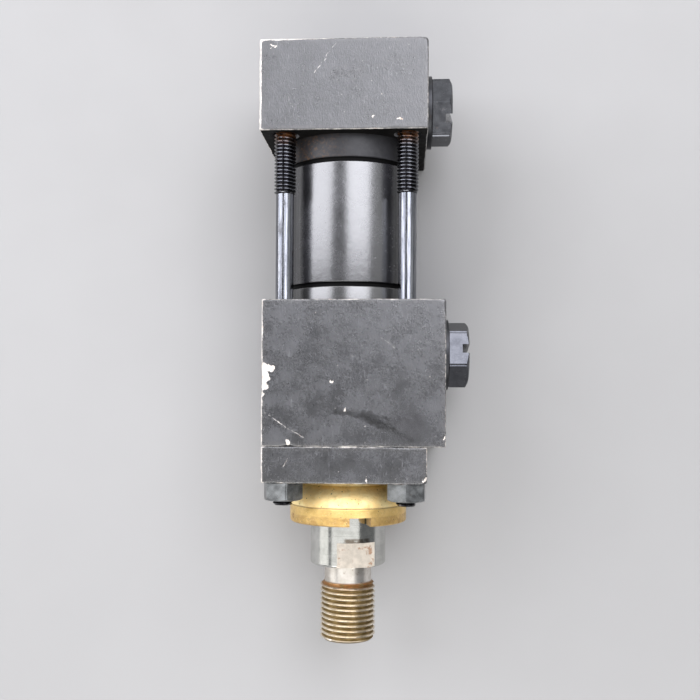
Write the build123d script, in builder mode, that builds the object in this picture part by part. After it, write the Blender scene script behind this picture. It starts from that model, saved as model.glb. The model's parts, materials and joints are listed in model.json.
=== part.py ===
"""Square tie-rod cylinder: bore 32 mm, rod 22 mm, stroke 18 mm, with the rod fully in.

Lengths are millimetres. The origin is on the cylinder's axis at the front face of the gland.
+Y runs along the axis towards the rear cap, +X is the port side and +Z is up, so the rod end
points along -Y. Places along the axis are called stations and are values of Y.
"""

import os

from build123d import *

os.makedirs("parts", exist_ok=True)

# Driving dimensions
BORE = 32.0
ROD = 22.0
STROKE = 18.0
SQUARE = 45.0  # width and height of the head and the retainer plate
PORT_SIDE = 5.0  # how much the head is wider on its port side
CAP_SIDE = 1.0  # how much the rear cap is wider on the side away from the ports
TIE_ROD_SPACING = 34.0
TIE_ROD = 6.0

# Stations along the axis
GLAND_PROJECTION = 12.5
PLATE_LENGTH = 10.0
HEAD_LENGTH = 40.0
TUBE_VISIBLE = 28.0 + STROKE
CAP_LENGTH = 25.0
PLATE_FRONT = GLAND_PROJECTION
HEAD_FRONT = PLATE_FRONT + PLATE_LENGTH
HEAD_BACK = HEAD_FRONT + HEAD_LENGTH
CAP_FRONT = HEAD_BACK + TUBE_VISIBLE
CAP_BACK = CAP_FRONT + CAP_LENGTH
FRONT_PORT = HEAD_FRONT + 26.0
REAR_PORT = CAP_FRONT + 11.2

# Fits: radial play unless it says otherwise
SLIDING_PLAY = 0.04
SEAL_PLAY = 0.03
LOCATING_PLAY = 0.05
END_PLAY = 0.3
EDGE = 0.4  # broken edges of the blocks

# Tube
TUBE_RADIUS = 19.0
TUBE_SOCKET = 5.0  # depth of the ring-shaped seat in each block
NOSE_LENGTH = 10.0  # from the seat's floor to the tip of the nose inside the tube
NOSE_RADIUS = BORE / 2 - LOCATING_PLAY
FRONT_CHAMBER = HEAD_BACK - TUBE_SOCKET + NOSE_LENGTH
REAR_CHAMBER = CAP_FRONT + TUBE_SOCKET - NOSE_LENGTH
OIL_WAY_RADIUS = 13.0  # round the rod in the head, and the pocket in the cap

# Gland
GLAND_RIM = 17.0
GLAND_RIM_LENGTH = 5.0
GLAND_RIM_CHAMFER = 0.4
GLAND_NECK = 13.0
GLAND_THREAD = 15.0
GLAND_BACK = FRONT_PORT - 3.5
GLAND_BORE = ROD / 2 + SLIDING_PLAY
SPANNER_SLOT_WIDTH = 6.0
SPANNER_SLOT_DEPTH = 2.5
SPANNER_SLOT_TURN = 15.0  # degrees, from +Z towards +X

# Seals in the gland: grooves as front and back stations, and how the seals fill them
WIPER_GROOVE = (3.8, 6.8)
OUTER_SEAL_GROOVE = (24.0, 29.0)
INNER_SEAL_GROOVE = (33.0, 37.0)
GLAND_O_RING_GROOVE = (39.0, 41.6)
ROD_SEAL_GROOVE = 13.0
SEAL_END_PLAY = 0.05
WIPER_BODY = ROD / 2 + 0.5
O_RING_DEPTH = 1.4  # of the small ring grooves
BLOCK_O_RING_DEPTH = 1.55  # of the grooves in the noses of the head and the cap
BLOCK_O_RING_WIDTH = 2.4
BLOCK_O_RING_INSET = 0.1  # from the block's face
O_RING_PLAY = 0.02

# Piston
PISTON_FRONT = FRONT_CHAMBER + STROKE + END_PLAY
PISTON_BACK = REAR_CHAMBER - END_PLAY
PISTON_RADIUS = BORE / 2 - 0.15
SPIGOT = 7.0
LOCK_NUT = 7.0
RING_RADIUS = BORE / 2 - SEAL_PLAY
WEAR_RING_WIDTH = 3.8
WEAR_GROOVE = 14.2
SEAL_WIDTH = 4.0
SEAL_GROOVE = 12.5
WEAR_RING_FRONT = PISTON_FRONT + 1.4
WEAR_RING_REAR = PISTON_BACK - 1.4 - WEAR_RING_WIDTH
PISTON_SEAL = (PISTON_FRONT + PISTON_BACK - SEAL_WIDTH) / 2
SEAL_RING_BORE = SEAL_GROOVE + 2.1
SPIGOT_O_RING = PISTON_FRONT + 4.1
GROOVE_PLAY = 0.05

# Rod end
ROD_SHOULDER = -12.5
FLATS = 19.0
FLATS_LENGTH = 7.2
FLATS_TURN = 17.0  # degrees, from +Z towards +X
ROD_THREAD = 16.0
UNDERCUT_LENGTH = 5.0
UNDERCUT_RADIUS = 6.85
ROD_END = ROD_SHOULDER - 22.0

# Ports and their plugs
PORT_RADIUS = 6.6
PORT_DEPTH = 12.0
PORT_OIL_WAY = 3.0
PLUG_STEM_RADIUS = 6.5
PLUG_STEM = 9.0
PLUG_FLATS = 17.0
PLUG_HEX = 5.8
PLUG_SLOT_WIDTH = 2.5
PLUG_SLOT_DEPTH = 2.0
WASHER_RADIUS = 10.3
WASHER_THICKNESS = 1.5

# Tie rods and nuts
SHANK_RADIUS = 2.5
ROD_TIP = PLATE_FRONT - 6.3
FRONT_THREAD = 20.0
REAR_THREAD = CAP_FRONT - 16.5
TAPPED_DEPTH = 15.0
NUT_FLATS = 10.0
NUT_HEIGHT = 5.0
CORNERS = [(-1, 1), (1, 1), (1, -1), (-1, -1)]  # the sides in X and Z of tie rods 1 to 4
NUT_TURNS = [14.0, 35.0, 4.0, -3.0]  # degrees, from the +X side towards +Z


def facing_front(station, x=0.0, z=0.0):
    """Plane across the axis whose normal points along -Y."""
    return Plane((x, station, z), x_dir=(1, 0, 0), z_dir=(0, -1, 0))


def facing_rear(station):
    """Plane across the axis whose normal points along +Y."""
    return Plane((0, station, 0), x_dir=(1, 0, 0), z_dir=(0, 1, 0))


def ring(inner, outer, front, back, mode=Mode.ADD):
    """Turn a ring of rectangular section about the cylinder's axis."""
    with BuildSketch(Plane.XY) as section:
        with Locations((inner, front)):
            Rectangle(outer - inner, back - front, align=(Align.MIN, Align.MIN))
    revolve(section.sketch, axis=Axis.Y, mode=mode)


def o_ring(inner, outer, middle):
    """Turn a ring of round section that fills the gap between two radii."""
    with BuildSketch(Plane.XY) as section:
        with Locations(((inner + outer) / 2, middle)):
            Circle((outer - inner) / 2)
    revolve(section.sketch, axis=Axis.Y)


def lip_seal(inner, outer, front, back):
    """Turn a seal whose rear end opens into two lips, towards the oil."""
    middle = (inner + outer) / 2
    with BuildSketch(Plane.XY) as section:
        with BuildLine():
            Polyline(
                (inner + 0.25, front),
                (outer, front),
                (outer, back),
                (outer - 0.5, back),
                (middle, back - 1.4),
                (inner + 0.5, back),
                (inner, back - 0.5),
                (inner + 0.25, back - 2.0),
                close=True,
            )
        make_face()
    revolve(section.sketch, axis=Axis.Y)


def hexagon(plane, across_flats, height, turn=0.0):
    """Stand a hexagon on a plane, with its outer corners turned off at 30 degrees."""
    with BuildSketch(plane) as outline:
        RegularPolygon(across_flats / 2, 6, major_radius=False, rotation=turn)
    extrude(outline.sketch, amount=height)
    face_radius = 0.96 * across_flats / 2
    with Locations(plane):
        Cone(
            face_radius + height * 3**0.5,
            face_radius,
            height,
            align=(Align.CENTER, Align.CENTER, Align.MIN),
            mode=Mode.INTERSECT,
        )


def port(side_face, station):
    """Cut a tapped port and its drilled oil way, square to the port side."""
    for radius, depth in ((PORT_RADIUS, PORT_DEPTH), (PORT_OIL_WAY, side_face - 10.0)):
        with BuildSketch(Plane.YZ.offset(side_face)) as mouth:
            with Locations((station, 0)):
                Circle(radius)
        extrude(mouth.sketch, amount=-depth, mode=Mode.SUBTRACT)


def block(left, right, front, back):
    """Extrude a square block with broken edges."""
    with BuildSketch(facing_front(front)) as outline:
        with Locations(((left + right) / 2, 0)):
            Rectangle(right - left, SQUARE)
    solid = extrude(outline.sketch, amount=front - back)
    chamfer(solid.edges(), EDGE)


# Retainer plate: holds the gland's thread and takes the tie-rod nuts
with BuildPart() as retainer_plate:
    block(-SQUARE / 2, SQUARE / 2, PLATE_FRONT, HEAD_FRONT)
    ring(0, GLAND_THREAD + 2 * LOCATING_PLAY, PLATE_FRONT, HEAD_FRONT, Mode.SUBTRACT)
    with Locations(facing_front(PLATE_FRONT)):
        with GridLocations(TIE_ROD_SPACING, TIE_ROD_SPACING, 2, 2):
            Hole(TIE_ROD / 2 + 0.3)
retainer_plate.part.label = "retainer_plate"
export_step(retainer_plate.part, "parts/retainer_plate.step")

# Head: front port, gland bore, and the nose that seals inside the tube
with BuildPart() as head:
    block(-SQUARE / 2, SQUARE / 2 + PORT_SIDE, HEAD_FRONT, HEAD_BACK)
    ring(
        NOSE_RADIUS,
        TUBE_RADIUS + LOCATING_PLAY,
        HEAD_BACK - TUBE_SOCKET,
        HEAD_BACK,
        Mode.SUBTRACT,
    )
    ring(OIL_WAY_RADIUS, NOSE_RADIUS, HEAD_BACK - TUBE_SOCKET, FRONT_CHAMBER)
    ring(0, OIL_WAY_RADIUS, HEAD_FRONT, FRONT_CHAMBER, Mode.SUBTRACT)
    ring(0, GLAND_THREAD + LOCATING_PLAY, HEAD_FRONT, GLAND_BACK + 0.1, Mode.SUBTRACT)
    ring(
        BORE / 2 - BLOCK_O_RING_DEPTH,
        BORE / 2,
        HEAD_BACK - BLOCK_O_RING_INSET - BLOCK_O_RING_WIDTH,
        HEAD_BACK - BLOCK_O_RING_INSET,
        Mode.SUBTRACT,
    )
    with Locations(facing_front(HEAD_FRONT)):
        with GridLocations(TIE_ROD_SPACING, TIE_ROD_SPACING, 2, 2):
            Hole(TIE_ROD / 2 + 0.3)
    port(SQUARE / 2 + PORT_SIDE, FRONT_PORT)
head.part.label = "head"
export_step(head.part, "parts/head.step")

# Rear cap: rear port, pocket for the lock nut, and the tapped holes of the tie rods
with BuildPart() as rear_cap:
    block(-SQUARE / 2 - CAP_SIDE, SQUARE / 2, CAP_FRONT, CAP_BACK)
    ring(
        NOSE_RADIUS,
        TUBE_RADIUS + LOCATING_PLAY,
        CAP_FRONT,
        CAP_FRONT + TUBE_SOCKET,
        Mode.SUBTRACT,
    )
    ring(OIL_WAY_RADIUS, NOSE_RADIUS, REAR_CHAMBER, CAP_FRONT + TUBE_SOCKET)
    ring(0, OIL_WAY_RADIUS, REAR_CHAMBER, CAP_BACK - 5.5, Mode.SUBTRACT)
    ring(
        BORE / 2 - BLOCK_O_RING_DEPTH,
        BORE / 2,
        CAP_FRONT + BLOCK_O_RING_INSET,
        CAP_FRONT + BLOCK_O_RING_INSET + BLOCK_O_RING_WIDTH,
        Mode.SUBTRACT,
    )
    with Locations(facing_front(CAP_FRONT)):
        with GridLocations(TIE_ROD_SPACING, TIE_ROD_SPACING, 2, 2):
            CounterSinkHole(TIE_ROD / 2 + LOCATING_PLAY, TIE_ROD / 2 + 0.75, TAPPED_DEPTH)
    port(SQUARE / 2, REAR_PORT)
rear_cap.part.label = "rear_cap"
export_step(rear_cap.part, "parts/rear_cap.step")

# Tube: seated in both blocks, with a turned groove near each end
with BuildPart() as tube:
    ring(BORE / 2, TUBE_RADIUS, HEAD_BACK - TUBE_SOCKET, CAP_FRONT + TUBE_SOCKET)
    chamfer(tube.edges().filter_by(GeomType.CIRCLE), 0.3)
    for groove_front in (HEAD_BACK + 3.9, CAP_FRONT - 7.6):
        ring(TUBE_RADIUS - 0.7, TUBE_RADIUS, groove_front, groove_front + 1.3, Mode.SUBTRACT)
tube.part.label = "tube"
export_step(tube.part, "parts/tube.step")

# Gland: flared bronze bearing with two spanner slots, seal grooves inside and one outside
with BuildPart() as gland:
    with BuildSketch(Plane.XY) as gland_section:
        with BuildLine():
            Polyline((GLAND_NECK, GLAND_PROJECTION - 1.5), (GLAND_NECK, GLAND_PROJECTION + 1.0))
            Polyline(
                (GLAND_NECK, GLAND_PROJECTION + 1.0),
                (GLAND_THREAD, GLAND_PROJECTION + 3.0),
                (GLAND_THREAD, GLAND_BACK - 0.6),
                (GLAND_THREAD - 0.6, GLAND_BACK),
                (GLAND_BORE, GLAND_BACK),
                (GLAND_BORE, 0),
                (GLAND_RIM - GLAND_RIM_CHAMFER, 0),
                (GLAND_RIM, GLAND_RIM_CHAMFER),
                (GLAND_RIM, GLAND_RIM_LENGTH),
            )
            TangentArc(
                (GLAND_NECK, GLAND_PROJECTION - 1.5),
                (GLAND_RIM, GLAND_RIM_LENGTH),
                tangent=(0, -1),
            )
        make_face()
    revolve(axis=Axis.Y)
    for groove in (WIPER_GROOVE, OUTER_SEAL_GROOVE, INNER_SEAL_GROOVE):
        ring(GLAND_BORE, ROD_SEAL_GROOVE, *groove, Mode.SUBTRACT)
    ring(GLAND_THREAD - O_RING_DEPTH, GLAND_THREAD, *GLAND_O_RING_GROOVE, Mode.SUBTRACT)
    Box(
        SPANNER_SLOT_WIDTH,
        2 * SPANNER_SLOT_DEPTH,
        2 * GLAND_RIM + 2,
        rotation=(0, SPANNER_SLOT_TURN, 0),
        mode=Mode.SUBTRACT,
    )
gland.part.label = "gland"
export_step(gland.part, "parts/gland.step")

# Seals in the gland, and the ring seals of the gland, the head and the cap
with BuildPart() as rod_wiper:
    wiper_front = WIPER_GROOVE[0] + SEAL_END_PLAY
    wiper_back = WIPER_GROOVE[1] - SEAL_END_PLAY
    with BuildSketch(Plane.XY) as wiper_section:
        with BuildLine():
            Polyline(
                (ROD / 2 + SEAL_PLAY, wiper_front + 0.15),
                (WIPER_BODY, wiper_front),
                (ROD_SEAL_GROOVE - GROOVE_PLAY, wiper_front),
                (ROD_SEAL_GROOVE - GROOVE_PLAY, wiper_back),
                (WIPER_BODY, wiper_back),
                (WIPER_BODY, wiper_back - 1.35),
                close=True,
            )
        make_face()
    revolve(axis=Axis.Y)
rod_wiper.part.label = "rod_wiper"
export_step(rod_wiper.part, "parts/rod_wiper.step")

for name, groove in (
    ("rod_seal_outer", OUTER_SEAL_GROOVE),
    ("rod_seal_inner", INNER_SEAL_GROOVE),
):
    with BuildPart() as rod_seal:
        lip_seal(
            ROD / 2 + SEAL_PLAY,
            ROD_SEAL_GROOVE - GROOVE_PLAY,
            groove[0] + SEAL_END_PLAY,
            groove[1] - SEAL_END_PLAY,
        )
    rod_seal.part.label = name
    export_step(rod_seal.part, f"parts/{name}.step")

with BuildPart() as gland_o_ring:
    o_ring(
        GLAND_THREAD - O_RING_DEPTH + O_RING_PLAY,
        GLAND_THREAD + LOCATING_PLAY - O_RING_PLAY,
        sum(GLAND_O_RING_GROOVE) / 2,
    )
gland_o_ring.part.label = "gland_o_ring"
export_step(gland_o_ring.part, "parts/gland_o_ring.step")

block_o_ring_inset = BLOCK_O_RING_INSET + BLOCK_O_RING_WIDTH / 2
block_o_ring_inner = BORE / 2 - BLOCK_O_RING_DEPTH + O_RING_PLAY

with BuildPart() as head_o_ring:
    o_ring(block_o_ring_inner, BORE / 2 - O_RING_PLAY, HEAD_BACK - block_o_ring_inset)
head_o_ring.part.label = "head_o_ring"
export_step(head_o_ring.part, "parts/head_o_ring.step")

with BuildPart() as cap_o_ring:
    o_ring(block_o_ring_inner, BORE / 2 - O_RING_PLAY, CAP_FRONT + block_o_ring_inset)
cap_o_ring.part.label = "cap_o_ring"
export_step(cap_o_ring.part, "parts/cap_o_ring.step")

# Piston rod: threaded end, undercut, spanner flats, and the spigot that carries the piston
with BuildPart() as piston_rod:
    with BuildSketch(Plane.XY) as rod_section:
        with BuildLine():
            Polyline(
                (0, ROD_END),
                (ROD_THREAD / 2 - 1.0, ROD_END),
                (ROD_THREAD / 2, ROD_END + 1.0),
                (ROD_THREAD / 2, ROD_SHOULDER - UNDERCUT_LENGTH),
                (UNDERCUT_RADIUS, ROD_SHOULDER - UNDERCUT_LENGTH),
                (UNDERCUT_RADIUS, ROD_SHOULDER),
                (ROD / 2 - 0.5, ROD_SHOULDER),
                (ROD / 2, ROD_SHOULDER + 0.5),
                (ROD / 2, PISTON_FRONT),
                (SPIGOT, PISTON_FRONT),
                (SPIGOT, PISTON_BACK + LOCK_NUT + 1.3),
                (SPIGOT - 0.5, PISTON_BACK + LOCK_NUT + 1.8),
                (0, PISTON_BACK + LOCK_NUT + 1.8),
                close=True,
            )
        make_face()
    revolve(axis=Axis.Y)
    with BuildSketch(facing_front(ROD_SHOULDER)) as flats_section:
        Rectangle(2 * ROD, 2 * ROD)
        Rectangle(2 * ROD, FLATS, rotation=-FLATS_TURN, mode=Mode.SUBTRACT)
    extrude(amount=-FLATS_LENGTH, mode=Mode.SUBTRACT)
piston_rod.part.label = "piston_rod"
export_step(piston_rod.part, "parts/piston_rod.step")

# Piston: one seal groove between two wear-ring grooves, and a static seal on the spigot
with BuildPart() as piston:
    ring(SPIGOT + LOCATING_PLAY, PISTON_RADIUS, PISTON_FRONT, PISTON_BACK)
    chamfer(piston.edges().filter_by(GeomType.CIRCLE), 0.4)
    for groove_front in (WEAR_RING_FRONT, WEAR_RING_REAR):
        ring(
            WEAR_GROOVE,
            BORE / 2,
            groove_front - GROOVE_PLAY,
            groove_front + WEAR_RING_WIDTH + GROOVE_PLAY,
            Mode.SUBTRACT,
        )
    ring(
        SEAL_GROOVE,
        BORE / 2,
        PISTON_SEAL - GROOVE_PLAY,
        PISTON_SEAL + SEAL_WIDTH + GROOVE_PLAY,
        Mode.SUBTRACT,
    )
    ring(
        SPIGOT,
        SPIGOT + O_RING_DEPTH,
        SPIGOT_O_RING - 1.1,
        SPIGOT_O_RING + 1.1,
        Mode.SUBTRACT,
    )
piston.part.label = "piston"
export_step(piston.part, "parts/piston.step")

with BuildPart() as piston_o_ring:
    o_ring(SPIGOT + O_RING_PLAY, SPIGOT + O_RING_DEPTH - O_RING_PLAY, SPIGOT_O_RING)
piston_o_ring.part.label = "piston_o_ring"
export_step(piston_o_ring.part, "parts/piston_o_ring.step")

with BuildPart() as piston_lock_nut:
    hexagon(facing_rear(PISTON_BACK), 21.0, LOCK_NUT)
    ring(0, SPIGOT + LOCATING_PLAY, PISTON_BACK, PISTON_BACK + LOCK_NUT, Mode.SUBTRACT)
piston_lock_nut.part.label = "piston_lock_nut"
export_step(piston_lock_nut.part, "parts/piston_lock_nut.step")

with BuildPart() as piston_seal_ring:
    ring(SEAL_RING_BORE, RING_RADIUS, PISTON_SEAL, PISTON_SEAL + SEAL_WIDTH)
piston_seal_ring.part.label = "piston_seal_ring"
export_step(piston_seal_ring.part, "parts/piston_seal_ring.step")

with BuildPart() as piston_energizer_ring:
    ring(
        SEAL_GROOVE + O_RING_PLAY,
        SEAL_RING_BORE - O_RING_PLAY,
        PISTON_SEAL + 0.4,
        PISTON_SEAL + SEAL_WIDTH - 0.4,
    )
    chamfer(piston_energizer_ring.edges().filter_by(GeomType.CIRCLE), 0.4)
piston_energizer_ring.part.label = "piston_energizer_ring"
export_step(piston_energizer_ring.part, "parts/piston_energizer_ring.step")

with BuildPart() as piston_wear_ring_front:
    ring(WEAR_GROOVE + 0.04, RING_RADIUS, WEAR_RING_FRONT, WEAR_RING_FRONT + WEAR_RING_WIDTH)
piston_wear_ring_front.part.label = "piston_wear_ring_front"
export_step(piston_wear_ring_front.part, "parts/piston_wear_ring_front.step")

with BuildPart() as piston_wear_ring_rear:
    ring(WEAR_GROOVE + 0.04, RING_RADIUS, WEAR_RING_REAR, WEAR_RING_REAR + WEAR_RING_WIDTH)
piston_wear_ring_rear.part.label = "piston_wear_ring_rear"
export_step(piston_wear_ring_rear.part, "parts/piston_wear_ring_rear.step")

# Tie rods and their nuts, one of each at every corner
for number, (side, height) in enumerate(CORNERS, start=1):
    corner_x = side * TIE_ROD_SPACING / 2
    corner_z = height * TIE_ROD_SPACING / 2

    with BuildPart() as tie_rod:
        for radius, front, back in (
            (TIE_ROD / 2, ROD_TIP, ROD_TIP + FRONT_THREAD),
            (SHANK_RADIUS, ROD_TIP + FRONT_THREAD, REAR_THREAD),
            (TIE_ROD / 2, REAR_THREAD, CAP_FRONT + TAPPED_DEPTH - 1.0),
        ):
            with BuildSketch(facing_front(front, corner_x, corner_z)) as rod_circle:
                Circle(radius)
            extrude(amount=front - back)
        ends = tie_rod.edges().filter_by(GeomType.CIRCLE).sort_by(Axis.Y)
        chamfer([ends[0], ends[-1]], 0.5)
    tie_rod.part.label = f"tie_rod_{number}"
    export_step(tie_rod.part, f"parts/tie_rod_{number}.step")

    with BuildPart() as nut:
        seat = facing_front(PLATE_FRONT, corner_x, corner_z)
        hexagon(seat, NUT_FLATS, NUT_HEIGHT, NUT_TURNS[number - 1])
        with Locations(seat):
            Hole(TIE_ROD / 2 + LOCATING_PLAY)
    nut.part.label = f"tie_rod_nut_{number}"
    export_step(nut.part, f"parts/tie_rod_nut_{number}.step")

# Port plugs on their sealing washers; the turns are the slots' angles from +Y towards +Z
for name, side_face, station, slot_turn in (
    ("front_port", SQUARE / 2 + PORT_SIDE, FRONT_PORT, 80.0),
    ("rear_port", SQUARE / 2, REAR_PORT, 117.0),
):
    port_face = Plane((side_face, station, 0), x_dir=(0, 1, 0), z_dir=(1, 0, 0))
    seat = port_face.offset(WASHER_THICKNESS)
    top = seat.offset(PLUG_HEX)

    with BuildPart() as washer:
        with BuildSketch(port_face) as washer_ring:
            Circle(WASHER_RADIUS)
            Circle(PLUG_STEM_RADIUS + 0.2, mode=Mode.SUBTRACT)
        extrude(amount=WASHER_THICKNESS)
    washer.part.label = f"{name}_seal"
    export_step(washer.part, f"parts/{name}_seal.step")

    with BuildPart() as plug:
        hexagon(seat, PLUG_FLATS, PLUG_HEX, slot_turn - 30.0)
        with BuildSketch(top) as slot:
            Rectangle(2 * PLUG_FLATS, PLUG_SLOT_WIDTH, rotation=slot_turn)
        extrude(amount=-PLUG_SLOT_DEPTH, mode=Mode.SUBTRACT)
        with BuildSketch(seat) as stem:
            Circle(PLUG_STEM_RADIUS)
        extrude(amount=-(WASHER_THICKNESS + PLUG_STEM))
    plug.part.label = f"{name}_plug"
    export_step(plug.part, f"parts/{name}_plug.step")
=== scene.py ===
"""The tie-rod cylinder's looks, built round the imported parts. Lengths are millimetres unless a name says otherwise."""

import json
import math

import bmesh
import bpy
import numpy as np
from mathutils import Euler, Matrix, Vector, noise


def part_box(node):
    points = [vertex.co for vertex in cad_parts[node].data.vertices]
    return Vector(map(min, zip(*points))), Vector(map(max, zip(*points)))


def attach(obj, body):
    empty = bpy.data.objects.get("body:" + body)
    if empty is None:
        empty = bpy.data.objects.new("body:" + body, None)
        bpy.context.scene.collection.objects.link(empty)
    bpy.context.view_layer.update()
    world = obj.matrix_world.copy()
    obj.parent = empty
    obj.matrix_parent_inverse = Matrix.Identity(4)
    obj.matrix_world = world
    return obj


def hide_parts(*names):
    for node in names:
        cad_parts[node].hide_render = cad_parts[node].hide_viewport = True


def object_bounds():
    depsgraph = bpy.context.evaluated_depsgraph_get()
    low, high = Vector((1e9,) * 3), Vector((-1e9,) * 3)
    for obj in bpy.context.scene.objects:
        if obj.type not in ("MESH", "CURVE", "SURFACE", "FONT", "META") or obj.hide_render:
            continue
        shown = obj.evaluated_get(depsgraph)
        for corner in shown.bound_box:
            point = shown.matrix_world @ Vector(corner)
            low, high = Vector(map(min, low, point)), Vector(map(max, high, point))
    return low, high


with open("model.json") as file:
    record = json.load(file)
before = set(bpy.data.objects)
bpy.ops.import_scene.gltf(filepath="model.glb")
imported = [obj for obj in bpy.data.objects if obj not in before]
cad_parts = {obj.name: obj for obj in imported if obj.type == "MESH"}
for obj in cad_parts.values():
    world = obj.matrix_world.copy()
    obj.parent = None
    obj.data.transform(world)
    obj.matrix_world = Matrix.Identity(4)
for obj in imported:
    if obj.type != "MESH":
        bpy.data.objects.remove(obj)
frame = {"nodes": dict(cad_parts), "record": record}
cad_low, cad_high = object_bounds()

MM = 0.001
TURN = 2 * math.pi
PORT_AXIS, MAIN_AXIS, UP_AXIS = 0, 1, 2


# Where things are -----------------------------------------------------------


def span(node, axis):
    """Lowest and highest coordinate of a CAD node along one axis."""
    low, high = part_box(node)
    return low[axis] / MM, high[axis] / MM


def middle(node, axis):
    return sum(span(node, axis)) / 2


def corners(node):
    """Lowest and highest corner of a CAD node."""
    low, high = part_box(node)
    return np.array(low) / MM, np.array(high) / MM


# Meshes ---------------------------------------------------------------------


def finished(obj, angle=30.0):
    """Smooth shading that breaks at edges sharper than the angle."""
    obj.data.shade_smooth()
    obj.data.set_sharp_from_angle(angle=math.radians(angle))
    return obj


def mesh_object(name, parts):
    """One object from several (points, faces) parts, with touching points joined."""
    points, faces, first = [], [], 0
    for part_points, part_faces in parts:
        part_points = np.asarray(part_points, float).reshape(-1, 3)
        points.append(part_points)
        faces.extend([tuple(first + v for v in face) for face in part_faces])
        first += len(part_points)
    mesh = bpy.data.meshes.new(name)
    mesh.from_pydata((np.concatenate(points) * MM).tolist(), [], faces)
    welded = bmesh.new()
    welded.from_mesh(mesh)
    bmesh.ops.remove_doubles(welded, verts=welded.verts, dist=2e-7)
    bmesh.ops.dissolve_degenerate(welded, edges=welded.edges, dist=1e-7)
    bmesh.ops.recalc_face_normals(welded, faces=welded.faces)
    welded.to_mesh(mesh)
    welded.free()
    obj = bpy.data.objects.new(name, mesh)
    bpy.context.scene.collection.objects.link(obj)
    return obj


def skin(rows, wrap=0):
    """Quads between closed rows of points. With wrap, the last column meets the first one that many rows on."""
    count, columns = rows.shape[:2]
    faces = []
    for row in range(count - 1):
        for column in range(columns):
            following = (column + 1) % columns
            shift = wrap if following == 0 else 0
            if row + shift + 1 < count:
                faces.append(
                    (
                        row * columns + column,
                        (row + shift) * columns + following,
                        (row + shift + 1) * columns + following,
                        (row + 1) * columns + column,
                    )
                )
    return rows.reshape(-1, 3), faces


def round_about(axis, centre, radii, stations, angles):
    """Points at radii and stations, both as (rows, columns), about a line along an axis."""
    first, second = [other for other in (0, 1, 2) if other != axis]
    rows = np.zeros(np.broadcast(radii, stations, angles).shape + (3,))
    rows[..., axis] = stations
    rows[..., first] = centre[0] + radii * np.cos(angles)
    rows[..., second] = centre[1] + radii * np.sin(angles)
    return rows


def turned(outline, centre=(0.0, 0.0), axis=MAIN_AXIS, columns=144):
    """An outline of (radius, station) points turned about a line along an axis."""
    outline = np.asarray(outline, float)
    angles = TURN * np.arange(columns) / columns
    return skin(
        round_about(axis, centre, outline[:, :1], outline[:, 1:2], angles[None, :])
    )


def rounded(corner_points, steps=5, closed=False):
    """An outline whose corners, given as (radius, station, rounding), are eased into arcs."""
    count = len(corner_points)
    points = []
    for index, (radius, station, rounding) in enumerate(corner_points):
        corner = np.array((radius, station))
        inner = closed or 0 < index < count - 1
        if not inner or rounding <= 0:
            points.append(corner)
            continue
        before = np.array(corner_points[(index - 1) % count][:2]) - corner
        after = np.array(corner_points[(index + 1) % count][:2]) - corner
        reach = min(rounding, 0.45 * np.linalg.norm(before), 0.45 * np.linalg.norm(after))
        start = corner + before / np.linalg.norm(before) * reach
        end = corner + after / np.linalg.norm(after) * reach
        for step in range(steps + 1):
            t = step / steps
            points.append((1 - t) ** 2 * start + 2 * t * (1 - t) * corner + t**2 * end)
    if closed:
        points.append(points[0])
    return np.array(points)


def thread(front, back, radius, pitch, ends, centre=(0.0, 0.0), columns=96, slope=1.0):
    """A helical thread whose two ends are turned down to the radii in ends."""
    depth = 0.6134 * pitch
    flank = [0.0, 0.0, 0.2, 0.5, 0.8, 1.0, 1.02, 1.02, 1.0, 0.8, 0.5, 0.2]
    places = [0.0, 0.12, 0.19, 0.31, 0.43, 0.50, 0.54, 0.58, 0.62, 0.69, 0.81, 0.93]
    steps = len(flank)
    turns = math.ceil((back - front) / pitch) + 2
    index = np.arange(turns * steps)
    along = index // steps + np.array(places)[index % steps] - 1.0
    fraction = np.arange(columns) / columns
    stations = front + pitch * (along[:, None] + fraction[None, :])
    radii = np.broadcast_to(radius - depth * np.array(flank)[index % steps][:, None], stations.shape)
    stations = np.clip(stations, front, back)
    radii = np.minimum(radii, ends[0] + slope * (stations - front))
    radii = np.minimum(radii, ends[1] + slope * (back - stations))
    rows = round_about(MAIN_AXIS, centre, radii, stations, TURN * fraction[None, :])
    return skin(rows, wrap=steps)


def hexagon_rows(axis, centre, across_flats, base, top, turn, rounding=0.25, levels=14):
    """Closed rows up the side of a hexagon, turned off at 30 degrees under its top face."""
    circle = 0.96 * across_flats / 2
    corner_radius = across_flats / 3**0.5
    outline = []
    for corner in range(6):
        for offset in np.linspace(-29.0, 29.0, 25):
            angle = 60.0 * corner + offset
            flat_radius = across_flats / 2 / math.cos(math.radians(30.0 - abs(offset)))
            eased = corner_radius - rounding * (1.0 - min(abs(offset) / 2.5, 1.0)) ** 2
            outline.append((math.radians(angle + turn), min(flat_radius, eased)))
    angles = np.array([angle for angle, _ in outline])[None, :]
    radii = np.array([radius for _, radius in outline])[None, :]
    drop = (corner_radius - circle) / 3**0.5
    down = np.concatenate((np.linspace(0, drop, levels), [abs(top - base) - 0.15, abs(top - base)]))
    limit = circle + down * 3**0.5
    limit[0] -= 0.12
    way = -1.0 if top > base else 1.0
    stations = (top + way * down)[:, None]
    widths = np.minimum(radii, limit[:, None])
    widths[-1] = np.minimum(widths[-1], radii[0] - 0.12)
    return round_about(axis, centre, widths, stations, angles), angles


def flat_face(axis, centre, angles, levels):
    """Closed rows of (radius, station) with a hexagon's own columns, for its face and its hole."""
    levels = np.asarray(levels, float)
    return round_about(axis, centre, levels[:, :1], levels[:, 1:2], angles)


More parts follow.
